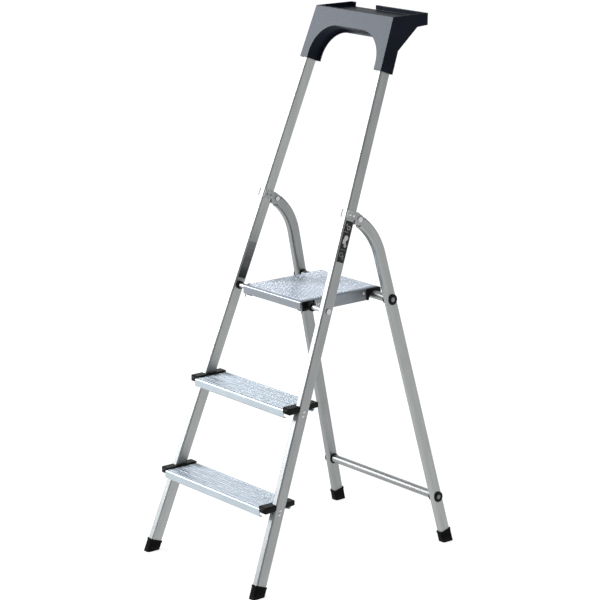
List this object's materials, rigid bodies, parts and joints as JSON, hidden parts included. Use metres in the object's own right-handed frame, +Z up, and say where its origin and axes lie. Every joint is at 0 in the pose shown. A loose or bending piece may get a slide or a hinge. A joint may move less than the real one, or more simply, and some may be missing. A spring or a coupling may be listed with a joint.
{
  "type": "folding step stool",
  "caption": "Folding aluminium step stool with leaning stiles, ribbed treads, a hooked platform, a bent-tube rear frame and a tool tray on top.",
  "frame": {"origin": "on the floor, in the middle of the four feet", "axes": "+X to the climber's right, +Y to the back, the way the climber faces, +Z up"},
  "size_m": [0.431, 0.6302, 1.293],
  "materials": {
    "tube_aluminium": "satin anodised",
    "tread_aluminium": "satin, ribbed",
    "rivet_aluminium": "dull",
    "black_plastic": "fine grain",
    "tray_plastic": "semi gloss",
    "rubber": "matt",
    "grey_plastic": "smooth",
    "dark_plastic": "smooth",
    "label_black": "printed film, plain marks",
    "label_grey": "film",
    "steel": "zinc plated"
  },
  "bodies": {
    "front_frame": {"left_stile": "tube_aluminium", "right_stile": "tube_aluminium", "lower_tread": "tread_aluminium", "upper_tread": "tread_aluminium", "lower_left_cap": "black_plastic", "lower_right_cap": "black_plastic", "upper_left_cap": "black_plastic", "upper_right_cap": "black_plastic", "tread_rivets": "rivet_aluminium", "tool_tray": "tray_plastic", "tray_screws": "steel", "left_front_foot": "rubber", "right_front_foot": "rubber", "left_bracket": "grey_plastic", "right_bracket": "grey_plastic", "bracket_rivets": "rivet_aluminium", "left_leg_pin": "steel", "right_leg_pin": "steel", "left_platform_bush": "black_plastic", "right_platform_bush": "black_plastic", "left_platform_pin": "steel", "right_platform_pin": "steel", "left_label": "label_grey", "right_label": "label_black"},
    "rear_frame": {"left_rear_leg": "tube_aluminium", "right_rear_leg": "tube_aluminium", "left_knuckle": "dark_plastic", "right_knuckle": "dark_plastic", "upper_crossbar": "tube_aluminium", "lower_crossbar": "tube_aluminium", "crossbar_rings": "black_plastic", "crossbar_collars": "black_plastic", "crossbar_plugs": "grey_plastic", "left_rear_foot": "rubber", "right_rear_foot": "rubber"},
    "platform": {"platform_deck": "tread_aluminium", "left_hinge_block": "black_plastic", "right_hinge_block": "black_plastic", "left_hook": "black_plastic", "right_hook": "black_plastic", "platform_rivets": "rivet_aluminium"}
  },
  "joints": [
    {"name": "rear_fold", "type": "hinge", "parent": "front_frame", "child": "rear_frame", "pos_m": [0, 0.04634, 0.8361], "axis": [-1, 0, 0], "range_deg": [0, 34.7]},
    {"name": "platform_fold", "type": "hinge", "parent": "front_frame", "child": "platform", "pos_m": [0, -0.0581, 0.635], "axis": [1, 0, 0], "range_deg": [0, 69.4]}
  ],
  "couplings": [
    {"joint": "platform_fold", "follows": "rear_fold", "ratio": 2}
  ]
}
